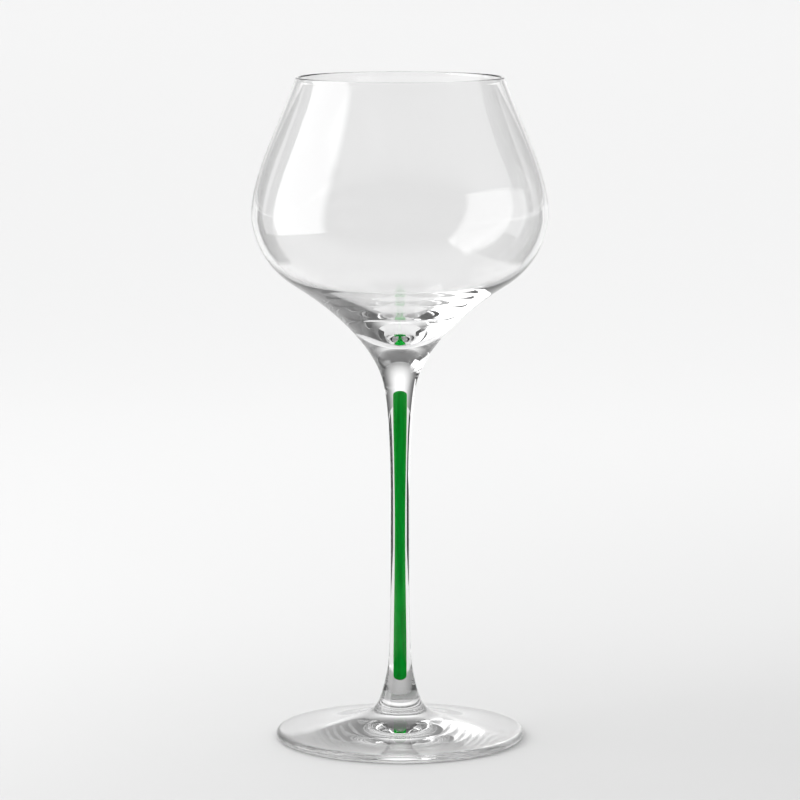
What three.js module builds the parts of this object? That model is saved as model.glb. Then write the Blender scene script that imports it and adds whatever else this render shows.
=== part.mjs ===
// A stemmed wine glass with a coloured rod sealed in its stem. Millimetres, +Z up.
// The origin is the centre of the plane that the foot stands on, on the glass's axis.
//
// The glass is four pieces of glass: a blown bowl, a drawn clear stem with a bore in it, the
// coloured core in that bore, and a spun foot. Bowl, stem and foot are fused end to end, so
// they meet face to face on two flat joints, and the bowl closes the bore over the core.

import * as THREE from "three";

// Heights of the three clear pieces. Together they make the overall height of 220 mm.
const FOOT_HEIGHT = 8.9;
const STEM_LENGTH = 109.6;
const BOWL_HEIGHT = 101.5;

// Bowl, with its heights measured from its joint with the stem. Below the shoulder its inside
// leans a little flatter than its outside, which leaves the bottom solid.
const RIM_RADIUS = 34.3;
const RIM_LEAN = 19.4;
const BELLY_RADIUS = 48.9;
const BELLY_HEIGHT = 56.2;
const SHOULDER_RADIUS = 35.2;
const SHOULDER_HEIGHT = 33.4;
const SHOULDER_LEAN = -58;
const INNER_SHOULDER_LEAN = -60;
const RIM_WALL = 1.2;
const BELLY_WALL = 1.5;
const SHOULDER_WALL = 1.8;
const BOTTOM_THICKNESS = 15.5;

// Stem, with its heights measured from its joint with the foot.
const NECK_RADIUS = 5.4;
const NECK_LEAN = -12;
const WAIST_RADIUS = 3.1;
const WAIST_HEIGHT = 61;
const ANKLE_RADIUS = 4.2;
const ANKLE_HEIGHT = 14.1;
const ANKLE_LEAN = 10.4;
const FLARE_RADIUS = 9.7;
const FLARE_LEAN = 61;

// Coloured core, and the space between it and its bore.
const CORE_TOP_RADIUS = 1.5;
const CORE_WAIST_RADIUS = 1.15;
const CORE_LOWER_RADIUS = 1.45;
const CORE_TO_BOWL = 1.5;
const CORE_TO_FOOT = 10.1;
const CORE_CLEARANCE = 0.05;

// How far each curved stretch keeps to the outline's direction at its upper and lower end, as a
// share of the stretch's length.
const RIM_PULL = 0.33;
const BELLY_UPPER_PULL = 0.28;
const BELLY_LOWER_PULL = 0.15;
const SHOULDER_UPPER_PULL = 0.5;
const SHOULDER_LOWER_PULL = 0.39;
const INNER_SHOULDER_PULL = 0.7;
const INNER_BOTTOM_PULL = 0.15;
const NECK_PULL = 0.27;
const WAIST_UPPER_PULL = 0.12;
const WAIST_LOWER_PULL = 0.45;
const ANKLE_UPPER_PULL = 0.11;
const ANKLE_LOWER_PULL = 0.21;
const FLARE_UPPER_PULL = 0.25;
const FLARE_LOWER_PULL = 0.12;
const EDGE_PULL = 0.44;
const HOLLOW_EDGE_PULL = 0.3;
const HOLLOW_CENTRE_PULL = 0.4;
const CORE_END_PULL = 0.3;
const CORE_WAIST_PULL = 0.4;

// Foot.
const FOOT_RADIUS = 41.3;
const EDGE_THICKNESS = 2.7;
const RESTING_RING_WIDTH = 3;
const HOLLOW_HEIGHT = 2.4;

// Facets round the axis of the wide and the slim pieces, and steps along a curved stretch and
// round an edge.
const WIDE_FACETS = 48;
const SLIM_FACETS = 24;
const CURVE_STEPS = 8;
const ROUND_STEPS = 4;

const STEM_BASE_Z = FOOT_HEIGHT;
const BOWL_BASE_Z = FOOT_HEIGHT + STEM_LENGTH;
const RIM_Z = BOWL_BASE_Z + BOWL_HEIGHT;

const CLEAR_GLASS = { color: 0xf2f6f5, roughness: 0.02, metalness: 0, transparent: true, opacity: 0.35 };
const GREEN_GLASS = { color: 0x0b8a2e, roughness: 0.2, metalness: 0 };

// A station is a point that an outline passes through. Its lean is the outline's direction
// there in degrees, outwards from straight down, as the outline runs from the rim to the foot.
function station(radius, z, lean) {
  const angle = THREE.MathUtils.degToRad(lean);
  return {
    point: new THREE.Vector2(radius, z),
    heading: new THREE.Vector2(Math.sin(angle), -Math.cos(angle)),
  };
}

// The smooth curve from an upper station to a lower one. Each pull is how far the curve keeps
// to that station's heading, as a share of the distance between the two.
function stretch(upper, upperPull, lower, lowerPull) {
  const distance = upper.point.distanceTo(lower.point);
  const leaving = upper.point.clone().addScaledVector(upper.heading, distance * upperPull);
  const arriving = lower.point.clone().addScaledVector(lower.heading, -distance * lowerPull);
  return new THREE.CubicBezierCurve(upper.point, leaving, arriving, lower.point).getPoints(CURVE_STEPS);
}

// An arc of a circle between two angles in degrees, 0 being straight outwards and 90 up.
function arc(radius, z, size, from, to) {
  const start = THREE.MathUtils.degToRad(from);
  const end = THREE.MathUtils.degToRad(to);
  const clockwise = to < from;
  return new THREE.EllipseCurve(radius, z, size, size, start, end, clockwise).getPoints(ROUND_STEPS);
}

// Joins stretches into one outline and leaves out points that repeat the one before.
function outline(...stretches) {
  const points = stretches.flat();
  return points.filter((point, i) => i === 0 || point.distanceTo(points[i - 1]) > 1e-6);
}

// A piece of glass: its outline turned round the Z axis, which the outline starts and ends on.
function turned(name, points, facets, finish) {
  const onAxis = points.map((point) => new THREE.Vector2(Math.max(point.x, 0), point.y));
  const geometry = new THREE.LatheGeometry(onAxis, facets).rotateX(Math.PI / 2);
  const mesh = new THREE.Mesh(geometry, new THREE.MeshStandardMaterial(finish));
  mesh.name = name;
  return mesh;
}

// Stations on the joints, which two pieces share.
const neck = station(NECK_RADIUS, BOWL_BASE_Z, NECK_LEAN);
const flare = station(FLARE_RADIUS, STEM_BASE_Z, FLARE_LEAN);

// The bowl: a thin wall with a round-edged rim, thickening below the belly to a solid bottom.
function bowl() {
  const rimRound = RIM_WALL / 2;
  const beltZ = BOWL_BASE_Z + BELLY_HEIGHT;
  const shoulderZ = BOWL_BASE_Z + SHOULDER_HEIGHT;
  const lean = THREE.MathUtils.degToRad(SHOULDER_LEAN);
  const innerShoulderRadius = SHOULDER_RADIUS - SHOULDER_WALL * Math.cos(lean);
  const innerShoulderZ = shoulderZ - SHOULDER_WALL * Math.sin(lean);

  const rim = station(RIM_RADIUS, RIM_Z - rimRound, RIM_LEAN);
  const belly = station(BELLY_RADIUS, beltZ, 0);
  const shoulder = station(SHOULDER_RADIUS, shoulderZ, SHOULDER_LEAN);
  const outside = outline(
    stretch(rim, RIM_PULL, belly, BELLY_UPPER_PULL),
    stretch(belly, BELLY_LOWER_PULL, shoulder, SHOULDER_UPPER_PULL),
    stretch(shoulder, SHOULDER_LOWER_PULL, neck, NECK_PULL),
  );

  const innerRim = station(RIM_RADIUS - RIM_WALL, RIM_Z - rimRound, RIM_LEAN);
  const innerBelly = station(BELLY_RADIUS - BELLY_WALL, beltZ, 0);
  const innerShoulder = station(innerShoulderRadius, innerShoulderZ, INNER_SHOULDER_LEAN);
  const innerBottom = station(0, BOWL_BASE_Z + BOTTOM_THICKNESS, -90);
  const inside = outline(
    stretch(innerRim, RIM_PULL, innerBelly, BELLY_UPPER_PULL),
    stretch(innerBelly, BELLY_LOWER_PULL, innerShoulder, SHOULDER_UPPER_PULL),
    stretch(innerShoulder, INNER_SHOULDER_PULL, innerBottom, INNER_BOTTOM_PULL),
  );

  const jointCentre = new THREE.Vector2(0, BOWL_BASE_Z);
  const rimTop = arc(RIM_RADIUS - rimRound, RIM_Z - rimRound, rimRound, 0, 180);
  const points = outline([jointCentre], outside.reverse(), rimTop, inside);
  return turned("bowl", points, WIDE_FACETS, CLEAR_GLASS);
}

// The outline of the core, which its bore repeats at a clearance: domed ends and a slim waist.
function coreOutline(clearance) {
  const top = CORE_TOP_RADIUS + clearance;
  const lower = CORE_LOWER_RADIUS + clearance;
  const topZ = BOWL_BASE_Z - CORE_TO_BOWL - CORE_TOP_RADIUS;
  const lowerZ = STEM_BASE_Z + CORE_TO_FOOT + CORE_LOWER_RADIUS;
  const waistZ = STEM_BASE_Z + WAIST_HEIGHT;
  const waist = station(CORE_WAIST_RADIUS + clearance, waistZ, 0);
  return {
    topDome: arc(0, topZ, top, 90, 0),
    side: outline(
      stretch(station(top, topZ, 0), CORE_END_PULL, waist, CORE_WAIST_PULL),
      stretch(waist, CORE_WAIST_PULL, station(lower, lowerZ, 0), CORE_END_PULL),
    ),
    lowerDome: arc(0, lowerZ, lower, 0, -90),
  };
}

// The stem: clear glass with a slim waist, spreading to the joints at its ends. A blind bore,
// open at the joint with the bowl, holds the core.
function stem() {
  const waist = station(WAIST_RADIUS, STEM_BASE_Z + WAIST_HEIGHT, 0);
  const ankle = station(ANKLE_RADIUS, STEM_BASE_Z + ANKLE_HEIGHT, ANKLE_LEAN);
  const outside = outline(
    stretch(neck, NECK_PULL, waist, WAIST_UPPER_PULL),
    stretch(waist, WAIST_LOWER_PULL, ankle, ANKLE_UPPER_PULL),
    stretch(ankle, ANKLE_LOWER_PULL, flare, FLARE_UPPER_PULL),
  );
  const bore = coreOutline(CORE_CLEARANCE);
  const boreMouth = new THREE.Vector2(bore.side[0].x, BOWL_BASE_Z);
  const jointCentre = new THREE.Vector2(0, STEM_BASE_Z);
  const inside = outline([boreMouth], bore.side, bore.lowerDome);
  const points = outline([jointCentre], outside.reverse(), inside);
  return turned("stem", points, SLIM_FACETS, CLEAR_GLASS);
}

// The core: a rod of green glass with domed ends.
function colourCore() {
  const core = coreOutline(0);
  const points = outline(core.topDome, core.side, core.lowerDome);
  return turned("colour_core", points.reverse(), SLIM_FACETS, GREEN_GLASS);
}

// The foot: a disc that rises to the joint with the stem, with a round edge, and hollowed
// underneath so that it stands on a flat ring near its edge.
function foot() {
  const edgeRound = EDGE_THICKNESS / 2;
  const edgeCentre = FOOT_RADIUS - edgeRound;
  const top = stretch(flare, FLARE_LOWER_PULL, station(edgeCentre, EDGE_THICKNESS, 90), EDGE_PULL);
  const edge = arc(edgeCentre, edgeRound, edgeRound, 90, -90);
  const ringInner = station(edgeCentre - RESTING_RING_WIDTH, 0, -90);
  const hollowCentre = station(0, HOLLOW_HEIGHT, -90);
  const hollow = stretch(ringInner, HOLLOW_EDGE_PULL, hollowCentre, HOLLOW_CENTRE_PULL);
  const jointCentre = new THREE.Vector2(0, STEM_BASE_Z);
  const points = outline([jointCentre], top, edge, hollow);
  return turned("foot", points.reverse(), WIDE_FACETS, CLEAR_GLASS);
}

const group = new THREE.Group();
group.add(bowl(), stem(), colourCore(), foot());

export default group;
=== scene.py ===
import math

import bmesh
import bpy
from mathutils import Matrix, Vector


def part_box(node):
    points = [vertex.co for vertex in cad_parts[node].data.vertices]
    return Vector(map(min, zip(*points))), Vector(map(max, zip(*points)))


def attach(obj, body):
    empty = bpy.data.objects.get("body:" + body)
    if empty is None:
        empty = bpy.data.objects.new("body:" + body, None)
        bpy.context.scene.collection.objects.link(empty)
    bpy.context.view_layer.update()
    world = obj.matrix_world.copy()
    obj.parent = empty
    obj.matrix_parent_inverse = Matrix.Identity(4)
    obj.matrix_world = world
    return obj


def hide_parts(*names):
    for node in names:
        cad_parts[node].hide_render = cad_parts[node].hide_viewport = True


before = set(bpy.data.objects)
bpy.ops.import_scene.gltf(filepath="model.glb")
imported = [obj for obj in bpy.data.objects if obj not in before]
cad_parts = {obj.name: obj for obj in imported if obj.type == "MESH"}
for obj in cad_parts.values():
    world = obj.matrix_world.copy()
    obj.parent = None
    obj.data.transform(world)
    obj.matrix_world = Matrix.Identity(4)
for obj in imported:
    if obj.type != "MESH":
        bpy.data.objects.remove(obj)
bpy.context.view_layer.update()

# A stemmed wine glass with a green core in its stem, on a pale studio floor.
#
# The bowl, the stem, the core and the foot are each turned again on the CAD model's own
# outline, in fine steps, and stand for their faceted CAD nodes. Lengths are in metres, and
# angles are in degrees.

MM = 0.001


def top_of(node):
    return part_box(node)[1].z


def bottom_of(node):
    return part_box(node)[0].z


def radius_of(node):
    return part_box(node)[1].x


# Sizes that the frame gives.
FOOT_JOINT_Z = top_of("foot")
BOWL_JOINT_Z = top_of("stem")
RIM_Z = top_of("bowl")
BELLY_RADIUS = radius_of("bowl")
FLARE_RADIUS = radius_of("stem")
FOOT_RADIUS = radius_of("foot")
CORE_TOP_Z = top_of("colour_core")
CORE_LOWER_Z = bottom_of("colour_core")
CORE_TOP_RADIUS = radius_of("colour_core")

# The outline between them, which repeats the CAD model's. Heights on the bowl are from its
# joint with the stem, and heights on the stem are from its joint with the foot.
RIM_RADIUS = 34.3 * MM
RIM_LEAN = 19.4
BELLY_HEIGHT = 56.2 * MM
SHOULDER_RADIUS = 35.2 * MM
SHOULDER_HEIGHT = 33.4 * MM
SHOULDER_LEAN = -58
RIM_WALL = 1.2 * MM
BELLY_WALL = 1.5 * MM
SHOULDER_WALL = 1.8 * MM
INNER_SHOULDER_LEAN = -60
BOTTOM_THICKNESS = 15.5 * MM
NECK_RADIUS = 5.4 * MM
NECK_LEAN = -12
WAIST_RADIUS = 3.1 * MM
WAIST_HEIGHT = 61 * MM
ANKLE_RADIUS = 4.2 * MM
ANKLE_HEIGHT = 14.1 * MM
ANKLE_LEAN = 10.4
FLARE_LEAN = 61
CORE_WAIST_RADIUS = 1.15 * MM
CORE_LOWER_RADIUS = 1.45 * MM
CORE_CLEARANCE = 0.05 * MM
EDGE_THICKNESS = 2.7 * MM
RESTING_RING_WIDTH = 3 * MM
HOLLOW_HEIGHT = 2.4 * MM

# How far each curved stretch keeps to the outline's direction at its upper and lower end, as a
# share of the stretch's length.
RIM_PULL = 0.33
BELLY_UPPER_PULL = 0.28
BELLY_LOWER_PULL = 0.15
SHOULDER_UPPER_PULL = 0.5
SHOULDER_LOWER_PULL = 0.39
INNER_SHOULDER_PULL = 0.7
INNER_BOTTOM_PULL = 0.15
NECK_PULL = 0.27
WAIST_UPPER_PULL = 0.12
WAIST_LOWER_PULL = 0.45
ANKLE_UPPER_PULL = 0.11
ANKLE_LOWER_PULL = 0.21
FLARE_UPPER_PULL = 0.25
FLARE_LOWER_PULL = 0.12
EDGE_PULL = 0.44
HOLLOW_EDGE_PULL = 0.3
HOLLOW_CENTRE_PULL = 0.4
CORE_END_PULL = 0.3
CORE_WAIST_PULL = 0.4

# How fine the turned pieces are, and the distance under which two points are the same.
FACETS = 256
CURVE_STEPS = 40
ROUND_STEPS = 16
SAME = 1e-7

# A turned piece's material slots: its surface, and its faces inside the glass.
SHELL, INNER = 0, 1

# Materials. A scale is the cycles a metre along each axis of waves, streaks or tooth, and a height
# is that of the whole range. The streaks run over a span of their noise, and the paper's painted
# shade, which darkens its colour towards the front, over a span of Y.
GLASS_TINT = (0.995, 0.995, 0.995, 1)
GLASS_IOR = 1.52
WAVE_SCALE = (45, 45, 28)
WAVE_DETAIL = 1
WAVE_HEIGHT = 0.02 * MM
DEEP_GREEN = (0.001, 0.44, 0.03, 1)
BRIGHT_GREEN = (0.0025, 0.6, 0.05, 1)
CORE_ROUGHNESS = 0.6
STREAK_SCALE = (900, 900, 45)
STREAK_DETAIL = 3
STREAK_SPAN = (0.3, 0.7)
# Painted shade on the paper: its colour near the front, darker, and far at the back, paler.
PAPER_PAINTED_SHADE_NEAR = 0.58
PAPER_PAINTED_SHADE_FAR = 0.83
PAPER_PAINTED_SHADE_SPAN_Y = (-0.35, 0.8)
PAPER_ROUGHNESS = 0.9
PAPER_GLOSS = 0.1
TOOTH_SCALE = (2600, 2600, 2600)
TOOTH_DETAIL = 3
TOOTH_HEIGHT = 0.02 * MM

# Camera: its place, how far it tilts down from level, and its lens and sensor in millimetres.
CAMERA_PLACE = (0, -1.251, 0.2854)
CAMERA_TILT = 7.83
CAMERA_LENS = 171.9
CAMERA_SENSOR = 36
CAMERA_CLIP_END = 100

# Floor and surroundings. From here on a span is where a tone changes, along an axis of the
# direction from the glass, as a unit vector.
FLOOR_REACH = 12
FLOOR_Z = -0.1 * MM
WORLD_FRONT = 0.22
WORLD_BACK = 1.55
WORLD_SPAN_Y = (-0.25, 0.6)
WORLD_TOP = 1.4
WORLD_SPAN_Z = (0.5, 0.9)

# The dark room and the bright sweep in it, which the glass bends and reflects. Light that runs
# upwards sees them through the bowl's two walls too.
ROOM_RADIUS = 9
ROOM_SUBDIVISIONS = 4
ROOM_FRONT = 0.08
ROOM_BACK = 0.17
ROOM_SPAN_Y = (-0.5, 0.3)
ROOM_SHOWN_SPAN_Z = (0.12, 0.3)
SWEEP_SPAN_X = (0.05, 0.7)
SWEEP_SPAN_Y = (0.1, 0.4)
SWEEP_SPAN_Z = (0.2, 0.9)

# The softbox on the left, which dims towards its near edge, the lamp that lights the floor and
# the core in its stead, and the white card behind the softbox.
SOFTBOX_X = -0.5
SOFTBOX_NEAR_Y = -0.36
SOFTBOX_FAR_Y = 0.185
SOFTBOX_TOP = 0.95
SOFTBOX_FADE = 0.22
SOFTBOX_LIGHT = 2.6
KEY_PLACE = (SOFTBOX_X, -0.06, 0.45)
KEY_AIM = (0, 0, 0.1)
KEY_SIZE = 0.5
KEY_POWER = 1.9
CARD_FAR_Y = 0.44
CARD_TOP = 0.4
CARD_LIGHT = 1.3

# Black cloths on the floor. Those on the two sides start a little aside of the glass and widen
# backwards. The front one fades out towards its back edge.
CLOTH_LIGHT = 0.05
CLOTH_Z = 0.4 * MM
CLOTH_ASIDE = 0.21
CLOTH_REACH = 4
CLOTH_BACK_Y = 0.29
CLOTH_FAR_BACK_Y = 5.5
RIGHT_EDGE_Y = -0.13
LEFT_EDGE_Y = 0.11
LEFT_FAR_EDGE_Y = 1.8
FRONT_EDGE_Y = -0.06
FRONT_FAR_Y = -8
FRONT_FADE = 0.28
CLOTHS = {
    "cloth_right": [
        (CLOTH_ASIDE, RIGHT_EDGE_Y),
        (CLOTH_REACH, RIGHT_EDGE_Y),
        (CLOTH_REACH, CLOTH_FAR_BACK_Y),
        (CLOTH_ASIDE, CLOTH_BACK_Y),
    ],
    "cloth_left": [
        (-CLOTH_ASIDE, LEFT_EDGE_Y),
        (-CLOTH_ASIDE, CLOTH_BACK_Y),
        (-CLOTH_REACH, CLOTH_FAR_BACK_Y),
        (-CLOTH_REACH, LEFT_FAR_EDGE_Y),
    ],
    "cloth_front": [
        (-CLOTH_REACH, FRONT_FAR_Y),
        (CLOTH_REACH, FRONT_FAR_Y),
        (CLOTH_REACH, FRONT_EDGE_Y),
        (-CLOTH_REACH, FRONT_EDGE_Y),
    ],
}

# The most surfaces of glass that light has crossed when it still sees the room, the softbox,
# the card and the cloths. The bowl's two walls have four.
MOST_SURFACES = 3

# The most times that light bounces, enough to leave the solid glass.
BOUNCES = 24


# ---------------------------------------------------------------- outlines


def station(radius, z, lean):
    """A point on an outline and the outline's heading there, in degrees out from straight down."""
    angle = math.radians(lean)
    return Vector((radius, z)), Vector((math.sin(angle), -math.cos(angle)))


def stretch(upper, upper_pull, lower, lower_pull):
    """Points of the smooth curve from one station down to the next."""
    (start, leaving), (end, arriving) = upper, lower
    distance = (end - start).length
    a = start + leaving * distance * upper_pull
    b = end - arriving * distance * lower_pull
    points = []
    for i in range(CURVE_STEPS + 1):
        t = i / CURVE_STEPS
        s = 1 - t
        points.append(start * s**3 + a * 3 * s * s * t + b * 3 * s * t * t + end * t**3)
    return points


def arc(radius, z, size, start, end):
    """Points of an arc between two angles in degrees, 0 being straight outwards and 90 up."""
    points = []
    for i in range(ROUND_STEPS + 1):
        angle = math.radians(start + (end - start) * i / ROUND_STEPS)
        points.append(Vector((radius + size * math.cos(angle), z + size * math.sin(angle))))
    return points


def joined(*stretches):
    """One run of points, without those that repeat the one before."""
    run = []
    for points in stretches:
        for point in points:
            if not run or (point - run[-1]).length > SAME:
                run.append(point)
    return run


# ---------------------------------------------------------------- meshes


def turned(name, runs, materials):
    """A closed mesh made by turning runs of points round the Z axis. Each run is its points and
    the number of its material. A run starts where the last one ended, on a sharp edge, and the
    first and last points are on the axis."""
    vertices, faces, face_materials, sharp_rings = [], [], [], []
    ring = None
    for points, material in runs:
        for point in points if ring is None else points[1:]:
            previous, ring = ring, len(vertices)
            on_axis = point.x < SAME
            for k in range(1 if on_axis else FACETS):
                angle = 2 * math.pi * k / FACETS
                x, y = point.x * math.cos(angle), point.x * math.sin(angle)
                vertices.append((x, y, point.y))
            if previous is None:
                continue
            from_axis = ring - previous == 1
            for k in range(FACETS):
                n = (k + 1) % FACETS
                corners = [previous] if from_axis else [previous + k, previous + n]
                corners += [ring] if on_axis else [ring + n, ring + k]
                faces.append(corners)
                face_materials.append(material)
        if not on_axis:
            sharp_rings.append(ring)
    mesh = bpy.data.meshes.new(name)
    mesh.from_pydata(vertices, [], faces)
    mesh.polygons.foreach_set("use_smooth", [True] * len(faces))
    mesh.polygons.foreach_set("material_index", face_materials)
    sharp = {ring + k for ring in sharp_rings for k in range(FACETS)}
    for edge in mesh.edges:
        a, b = edge.vertices
        edge.use_edge_sharp = a in sharp and b in sharp
    for material in materials:
        mesh.materials.append(material)
    mesh.update()
    piece = bpy.data.objects.new(name, mesh)
    bpy.context.scene.collection.objects.link(piece)
    return piece


def belongs(piece, node):
    """The piece stands for its CAD node and rides on the glass's only body."""
    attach(piece, "root")
    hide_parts(node)


# ---------------------------------------------------------------- materials


def new_material(name):
    material = bpy.data.materials.new(name)
    material.use_nodes = True
    nodes = material.node_tree.nodes
    nodes.clear()
    output = nodes.new("ShaderNodeOutputMaterial")
    return material, nodes, material.node_tree.links, output


def eased(nodes, links, value, span, start=0.0, end=1.0):
    """A socket that runs smoothly from start to end as the value runs over the span."""
    ramp = nodes.new("ShaderNodeMapRange")
    ramp.interpolation_type = "SMOOTHSTEP"
    ramp.inputs["From Min"].default_value = span[0]
    ramp.inputs["From Max"].default_value = span[1]
    ramp.inputs["To Min"].default_value = start
    ramp.inputs["To Max"].default_value = end
    links.new(value, ramp.inputs["Value"])
    return ramp.outputs["Result"]


def axes_of(nodes, links, vector):
    """The X, Y and Z sockets of a vector socket."""
    axes = nodes.new("ShaderNodeSeparateXYZ")
    links.new(vector, axes.inputs["Vector"])
    return axes.outputs["X"], axes.outputs["Y"], axes.outputs["Z"]


def place_on(nodes, coordinate):
    """A vector socket of one kind of texture coordinate."""
    return nodes.new("ShaderNodeTexCoord").outputs[coordinate]


def emission(nodes, strength=1.0):
    """A white light of a given strength."""
    light = nodes.new("ShaderNodeEmission")
    light.inputs["Strength"].default_value = strength
    return light


def scaled_place(nodes, links, scale):
    """A place on the piece, with each axis stretched by its own factor."""
    mapping = nodes.new("ShaderNodeMapping")
    mapping.inputs["Scale"].default_value = scale
    links.new(place_on(nodes, "Object"), mapping.inputs["Vector"])
    return mapping.outputs["Vector"]


def noise(nodes, links, place, detail):
    """A socket of soft noise from 0 to 1."""
    texture = nodes.new("ShaderNodeTexNoise")
    texture.inputs["Scale"].default_value = 1
    texture.inputs["Detail"].default_value = detail
    links.new(place, texture.inputs["Vector"])
    return texture.outputs["Fac"]


def bump(nodes, links, height, distance):
    """A normal from a height socket, distance being the height of its whole range."""
    node = nodes.new("ShaderNodeBump")
    node.inputs["Strength"].default_value = 1
    node.inputs["Distance"].default_value = distance
    links.new(height, node.inputs["Height"])
    return node.outputs["Normal"]


def clear_glass():
    """Colourless glass with the faint waves that blowing and fire polishing leave."""
    material, nodes, links, output = new_material("clear_glass")
    shader = nodes.new("ShaderNodeBsdfPrincipled")
    waves = noise(nodes, links, scaled_place(nodes, links, WAVE_SCALE), WAVE_DETAIL)
    links.new(bump(nodes, links, waves, WAVE_HEIGHT), shader.inputs["Normal"])
    shader.inputs["Base Color"].default_value = GLASS_TINT
    shader.inputs["Roughness"].default_value = 0
    shader.inputs["IOR"].default_value = GLASS_IOR
    shader.inputs["Transmission Weight"].default_value = 1
    links.new(shader.outputs["BSDF"], output.inputs["Surface"])
    return material


def fused_joint():
    """A face inside the glass, where two fused pieces meet. Light passes it unchanged."""
    material, nodes, links, output = new_material("fused_joint")
    shader = nodes.new("ShaderNodeBsdfTransparent")
    links.new(shader.outputs["BSDF"], output.inputs["Surface"])
    return material


def green_glass():
    """Opaque green glass, with the lengthwise streaks of a drawn rod."""
    material, nodes, links, output = new_material("green_glass")
    shader = nodes.new("ShaderNodeBsdfPrincipled")
    streaks = noise(nodes, links, scaled_place(nodes, links, STREAK_SCALE), STREAK_DETAIL)
    tint = nodes.new("ShaderNodeMix")
    tint.data_type = "RGBA"
    links.new(eased(nodes, links, streaks, STREAK_SPAN), tint.inputs["Factor"])
    tint.inputs["A"].default_value = DEEP_GREEN
    tint.inputs["B"].default_value = BRIGHT_GREEN
    links.new(tint.outputs["Result"], shader.inputs["Base Color"])
    shader.inputs["Roughness"].default_value = CORE_ROUGHNESS
    shader.inputs["Specular IOR Level"].default_value = 0
    links.new(shader.outputs["BSDF"], output.inputs["Surface"])
    return material


def paper():
    """Matt paper with a fine tooth, its colour darkened towards the front as painted shade."""
    material, nodes, links, output = new_material("paper")
    _, y, _ = axes_of(nodes, links, place_on(nodes, "Object"))
    # Painted shade: the paper's colour darkens from the back towards the front.
    painted_shade_tone = eased(nodes, links, y, PAPER_PAINTED_SHADE_SPAN_Y, PAPER_PAINTED_SHADE_NEAR, PAPER_PAINTED_SHADE_FAR)
    tooth = noise(nodes, links, scaled_place(nodes, links, TOOTH_SCALE), TOOTH_DETAIL)
    shader = nodes.new("ShaderNodeBsdfPrincipled")
    links.new(painted_shade_tone, shader.inputs["Base Color"])
    links.new(bump(nodes, links, tooth, TOOTH_HEIGHT), shader.inputs["Normal"])
    shader.inputs["Roughness"].default_value = PAPER_ROUGHNESS
    shader.inputs["Specular IOR Level"].default_value = PAPER_GLOSS
    links.new(shader.outputs["BSDF"], output.inputs["Surface"])
    return material


# ---------------------------------------------------------------- the glass

CLEAR = clear_glass()
JOINT = fused_joint()
GREEN = green_glass()

# Stations on the joints, which two pieces share.
neck = station(NECK_RADIUS, BOWL_JOINT_Z, NECK_LEAN)
flare = station(FLARE_RADIUS, FOOT_JOINT_Z, FLARE_LEAN)


def make_bowl():
    """The bowl: a thin wall with a round-edged rim, and a solid bottom."""
    rim_round = RIM_WALL / 2
    belly_z = BOWL_JOINT_Z + BELLY_HEIGHT
    shoulder_z = BOWL_JOINT_Z + SHOULDER_HEIGHT
    lean = math.radians(SHOULDER_LEAN)
    inner_shoulder_radius = SHOULDER_RADIUS - SHOULDER_WALL * math.cos(lean)
    inner_shoulder_z = shoulder_z - SHOULDER_WALL * math.sin(lean)

    rim = station(RIM_RADIUS, RIM_Z - rim_round, RIM_LEAN)
    belly = station(BELLY_RADIUS, belly_z, 0)
    shoulder = station(SHOULDER_RADIUS, shoulder_z, SHOULDER_LEAN)
    outside = joined(
        stretch(rim, RIM_PULL, belly, BELLY_UPPER_PULL),
        stretch(belly, BELLY_LOWER_PULL, shoulder, SHOULDER_UPPER_PULL),
        stretch(shoulder, SHOULDER_LOWER_PULL, neck, NECK_PULL),
    )
    inner_rim = station(RIM_RADIUS - RIM_WALL, RIM_Z - rim_round, RIM_LEAN)
    inner_belly = station(BELLY_RADIUS - BELLY_WALL, belly_z, 0)
    inner_shoulder = station(inner_shoulder_radius, inner_shoulder_z, INNER_SHOULDER_LEAN)
    inner_bottom = station(0, BOWL_JOINT_Z + BOTTOM_THICKNESS, -90)
    inside = joined(
        stretch(inner_rim, RIM_PULL, inner_belly, BELLY_UPPER_PULL),
        stretch(inner_belly, BELLY_LOWER_PULL, inner_shoulder, SHOULDER_UPPER_PULL),
        stretch(inner_shoulder, INNER_SHOULDER_PULL, inner_bottom, INNER_BOTTOM_PULL),
    )
    rim_top = arc(RIM_RADIUS - rim_round, RIM_Z - rim_round, rim_round, 0, 180)
    joint = [Vector((0, BOWL_JOINT_Z)), neck[0]]
    surface = joined(reversed(outside), rim_top, inside)
    piece = turned("bowl_glass", [(joint, INNER), (surface, SHELL)], [CLEAR, JOINT])
    belongs(piece, "bowl")


def core_outline(clearance):
    """The core's domed top, side and domed lower end, or those of its bore."""
    top = CORE_TOP_RADIUS + clearance
    lower = CORE_LOWER_RADIUS + clearance
    top_z = CORE_TOP_Z - CORE_TOP_RADIUS
    lower_z = CORE_LOWER_Z + CORE_LOWER_RADIUS
    waist = station(CORE_WAIST_RADIUS + clearance, FOOT_JOINT_Z + WAIST_HEIGHT, 0)
    side = joined(
        stretch(station(top, top_z, 0), CORE_END_PULL, waist, CORE_WAIST_PULL),
        stretch(waist, CORE_WAIST_PULL, station(lower, lower_z, 0), CORE_END_PULL),
    )
    return arc(0, top_z, top, 90, 0), side, arc(0, lower_z, lower, 0, -90)


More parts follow.
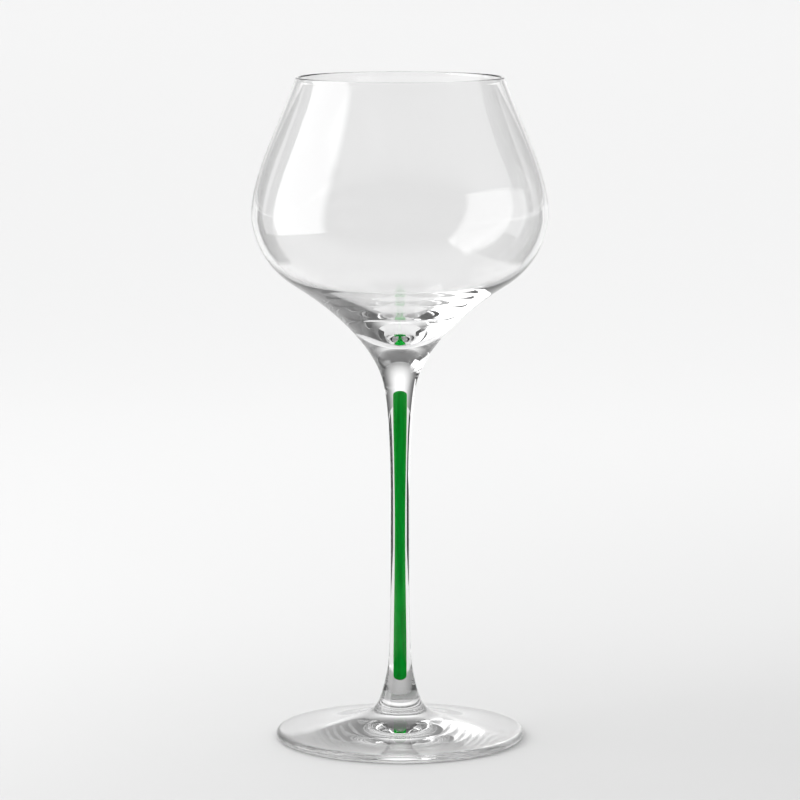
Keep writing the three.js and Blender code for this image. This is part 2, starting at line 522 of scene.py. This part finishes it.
def make_stem():
    """The clear stem, with its bore open towards the bowl."""
    waist = station(WAIST_RADIUS, FOOT_JOINT_Z + WAIST_HEIGHT, 0)
    ankle = station(ANKLE_RADIUS, FOOT_JOINT_Z + ANKLE_HEIGHT, ANKLE_LEAN)
    outside = joined(
        stretch(neck, NECK_PULL, waist, WAIST_UPPER_PULL),
        stretch(waist, WAIST_LOWER_PULL, ankle, ANKLE_UPPER_PULL),
        stretch(ankle, ANKLE_LOWER_PULL, flare, FLARE_UPPER_PULL),
    )
    _, side, lower_dome = core_outline(CORE_CLEARANCE)
    mouth = Vector((side[0].x, BOWL_JOINT_Z))
    lower_joint = [Vector((0, FOOT_JOINT_Z)), flare[0]]
    upper_joint = [neck[0], mouth]
    bore = joined([mouth], side, lower_dome)
    runs = [
        (lower_joint, INNER),
        (list(reversed(outside)), SHELL),
        (upper_joint, INNER),
        (bore, INNER),
    ]
    piece = turned("stem_glass", runs, [CLEAR, JOINT])
    belongs(piece, "stem")


def make_core():
    """The green rod in the stem's bore."""
    dome, side, lower_dome = core_outline(0)
    surface = joined(dome, side, lower_dome)
    piece = turned("core_rod", [(list(reversed(surface)), SHELL)], [GREEN])
    belongs(piece, "colour_core")


def make_foot():
    """The foot: a round-edged disc, hollowed underneath."""
    edge_round = EDGE_THICKNESS / 2
    edge_centre = FOOT_RADIUS - edge_round
    top = stretch(flare, FLARE_LOWER_PULL, station(edge_centre, EDGE_THICKNESS, 90), EDGE_PULL)
    edge = arc(edge_centre, edge_round, edge_round, 90, -90)
    ring_inner = station(edge_centre - RESTING_RING_WIDTH, 0, -90)
    hollow_centre = station(0, HOLLOW_HEIGHT, -90)
    hollow = stretch(ring_inner, HOLLOW_EDGE_PULL, hollow_centre, HOLLOW_CENTRE_PULL)
    joint = [flare[0], Vector((0, FOOT_JOINT_Z))]
    surface = joined(top, edge, hollow)
    runs = [(list(reversed(surface)), SHELL), (joint, INNER)]
    piece = turned("foot_glass", runs, [CLEAR, JOINT])
    belongs(piece, "foot")


make_bowl()
make_stem()
make_core()
make_foot()

# ---------------------------------------------------------------- studio


def make_camera():
    """A camera in front of the glass, a little above it."""
    data = bpy.data.cameras.new("camera")
    data.sensor_width = CAMERA_SENSOR
    data.lens = CAMERA_LENS
    data.clip_end = CAMERA_CLIP_END
    camera = bpy.data.objects.new("camera", data)
    camera.location = CAMERA_PLACE
    camera.rotation_euler = (math.radians(90 - CAMERA_TILT), 0, 0)
    bpy.context.scene.collection.objects.link(camera)
    bpy.context.scene.camera = camera


def staged(name, corners, material):
    """A flat four-cornered sheet of the studio, which isn't part of the glass."""
    mesh = bpy.data.meshes.new(name)
    mesh.from_pydata(corners, [], [(0, 1, 2, 3)])
    uvs = mesh.uv_layers.new(name="sheet")
    for loop, uv in zip(uvs.data, [(0, 0), (1, 0), (1, 1), (0, 1)]):
        loop.uv = uv
    mesh.materials.append(material)
    sheet = bpy.data.objects.new(name, mesh)
    bpy.context.scene.collection.objects.link(sheet)
    return sheet


def make_floor():
    """A wide sheet of paper, just under the foot."""
    reach = FLOOR_REACH
    corners = [(-reach, -reach), (reach, -reach), (reach, reach), (-reach, reach)]
    staged("floor", [(x, y, FLOOR_Z) for x, y in corners], paper())


def combined(nodes, links, operation, a, b=None):
    """A maths socket of one or two others."""
    maths = nodes.new("ShaderNodeMath")
    maths.operation = operation
    for i, value in enumerate((a, b)):
        if isinstance(value, (int, float)):
            maths.inputs[i].default_value = value
        elif value is not None:
            links.new(value, maths.inputs[i])
    return maths.outputs[0]


def shown_to_glass(nodes, links, light, output, always=None, share=None):
    """Shows a staged thing to rays that have crossed few surfaces of glass, as in the stem, the
    foot and the solid bottom, or that glass has reflected. It is clear to the rest: rays straight
    through the bowl's two walls, and those that light the floor and the core. Where always is 1
    the surfaces aren't counted, and share thins the thing."""
    path = nodes.new("ShaderNodeLightPath")
    crossed = path.outputs["Transmission Depth"]
    shown = combined(nodes, links, "LESS_THAN", crossed, MOST_SURFACES + 0.5)
    reflected = combined(nodes, links, "GREATER_THAN", path.outputs["Glossy Depth"], 0.5)
    shown = combined(nodes, links, "MAXIMUM", shown, reflected)
    if always is not None:
        shown = combined(nodes, links, "MAXIMUM", shown, always)
    undiffused = combined(nodes, links, "LESS_THAN", path.outputs["Diffuse Depth"], 0.5)
    shown = combined(nodes, links, "MULTIPLY", shown, undiffused)
    if share is not None:
        shown = combined(nodes, links, "MULTIPLY", shown, share)
    clear = nodes.new("ShaderNodeBsdfTransparent")
    mix = nodes.new("ShaderNodeMixShader")
    links.new(shown, mix.inputs["Fac"])
    links.new(clear.outputs["BSDF"], mix.inputs[1])
    links.new(light.outputs["Emission"], mix.inputs[2])
    links.new(mix.outputs["Shader"], output.inputs["Surface"])


def make_world():
    """Pale surroundings, bright behind the glass and above it, and grey in front of it."""
    world = bpy.data.worlds.new("studio")
    world.use_nodes = True
    nodes, links = world.node_tree.nodes, world.node_tree.links
    background = nodes["Background"]
    _, y, z = axes_of(nodes, links, place_on(nodes, "Generated"))
    back = eased(nodes, links, y, WORLD_SPAN_Y, WORLD_FRONT, WORLD_BACK)
    top = eased(nodes, links, z, WORLD_SPAN_Z, 0, WORLD_TOP)
    links.new(combined(nodes, links, "MAXIMUM", back, top), background.inputs["Strength"])
    background.inputs["Color"].default_value = (1, 1, 1, 1)
    bpy.context.scene.world = world


def room():
    """The dark room round the bright sweep that stands behind the glass."""
    material, nodes, links, output = new_material("room")
    unit = nodes.new("ShaderNodeVectorMath")
    unit.operation = "NORMALIZE"
    links.new(place_on(nodes, "Object"), unit.inputs[0])
    x, y, z = axes_of(nodes, links, unit.outputs["Vector"])
    aside = combined(nodes, links, "ABSOLUTE", x)
    sweep_side = eased(nodes, links, aside, SWEEP_SPAN_X, 1, 0)
    sweep_top = eased(nodes, links, z, SWEEP_SPAN_Z, 1, 0)
    sweep_front = eased(nodes, links, y, SWEEP_SPAN_Y)
    sweep = combined(nodes, links, "MULTIPLY", sweep_side, sweep_top)
    sweep = combined(nodes, links, "MULTIPLY", sweep, sweep_front)
    walls = eased(nodes, links, y, ROOM_SPAN_Y, ROOM_FRONT, ROOM_BACK)
    light = emission(nodes)
    links.new(combined(nodes, links, "ADD", sweep, walls), light.inputs["Strength"])
    upwards = eased(nodes, links, z, ROOM_SHOWN_SPAN_Z)
    shown_to_glass(nodes, links, light, output, always=upwards)
    return material


def glow():
    """The softbox's front, which dims to nothing over the part of its width at its near edge."""
    material, nodes, links, output = new_material("glow")
    across, _, _ = axes_of(nodes, links, place_on(nodes, "UV"))
    light = emission(nodes)
    strength = eased(nodes, links, across, (0, SOFTBOX_FADE), 0, SOFTBOX_LIGHT)
    links.new(strength, light.inputs["Strength"])
    shown_to_glass(nodes, links, light, output)
    return material


def white_card():
    """An even white card."""
    material, nodes, links, output = new_material("white_card")
    shown_to_glass(nodes, links, emission(nodes, CARD_LIGHT), output)
    return material


def black_cloth(faded):
    """Black cloth. A faded one gives way to the paper towards the front cloth's back edge."""
    material, nodes, links, output = new_material("black_cloth")
    share = None
    if faded:
        _, y, _ = axes_of(nodes, links, place_on(nodes, "Object"))
        share = eased(nodes, links, y, (FRONT_EDGE_Y - FRONT_FADE, FRONT_EDGE_Y), 1, 0)
    shown_to_glass(nodes, links, emission(nodes, CLOTH_LIGHT), output, share=share)
    return material


def keep_aside(thing, reflected):
    """Hides a staged thing from the camera, and keeps it from lighting or shading the floor and
    the core. One that isn't reflected is seen through glass alone."""
    thing.visible_camera = False
    thing.visible_diffuse = False
    thing.visible_glossy = reflected
    thing.visible_shadow = False


def make_key_light():
    """The softbox's light on the floor and the core. The glass shows the softbox instead."""
    data = bpy.data.lights.new("key_light", "AREA")
    data.shape = "SQUARE"
    data.size = KEY_SIZE
    data.energy = KEY_POWER
    lamp = bpy.data.objects.new("key_light", data)
    lamp.location = KEY_PLACE
    towards = Vector(KEY_AIM) - Vector(KEY_PLACE)
    lamp.rotation_euler = towards.to_track_quat("-Z", "Y").to_euler()
    lamp.visible_camera = False
    lamp.visible_glossy = False
    lamp.visible_transmission = False
    bpy.context.scene.collection.objects.link(lamp)


def make_room():
    """The dome that carries the room and its sweep."""
    mesh = bpy.data.meshes.new("room")
    shell = bmesh.new()
    bmesh.ops.create_icosphere(shell, subdivisions=ROOM_SUBDIVISIONS, radius=ROOM_RADIUS)
    shell.to_mesh(mesh)
    shell.free()
    mesh.materials.append(room())
    dome = bpy.data.objects.new("room", mesh)
    bpy.context.scene.collection.objects.link(dome)
    keep_aside(dome, reflected=True)


def on_the_left(name, near_y, far_y, top, material):
    """A sheet that stands on the floor, in the softbox's plane."""
    corners = [(near_y, 0), (far_y, 0), (far_y, top), (near_y, top)]
    return staged(name, [(SOFTBOX_X, y, z) for y, z in corners], material)


def make_softbox():
    softbox = on_the_left("softbox", SOFTBOX_NEAR_Y, SOFTBOX_FAR_Y, SOFTBOX_TOP, glow())
    keep_aside(softbox, reflected=True)


def make_card():
    card = on_the_left("white_card", SOFTBOX_FAR_Y, CARD_FAR_Y, CARD_TOP, white_card())
    keep_aside(card, reflected=False)


def make_cloths():
    for name, corners in CLOTHS.items():
        material = black_cloth(faded=name == "cloth_front")
        cloth = staged(name, [(x, y, CLOTH_Z) for x, y in corners], material)
        keep_aside(cloth, reflected=True)


make_camera()
make_floor()
make_world()
make_room()
make_softbox()
make_key_light()
make_card()
make_cloths()

scene = bpy.context.scene
scene.view_settings.view_transform = "Standard"
scene.cycles.max_bounces = BOUNCES
scene.cycles.glossy_bounces = BOUNCES
scene.cycles.transmission_bounces = BOUNCES
scene.cycles.transparent_max_bounces = BOUNCES
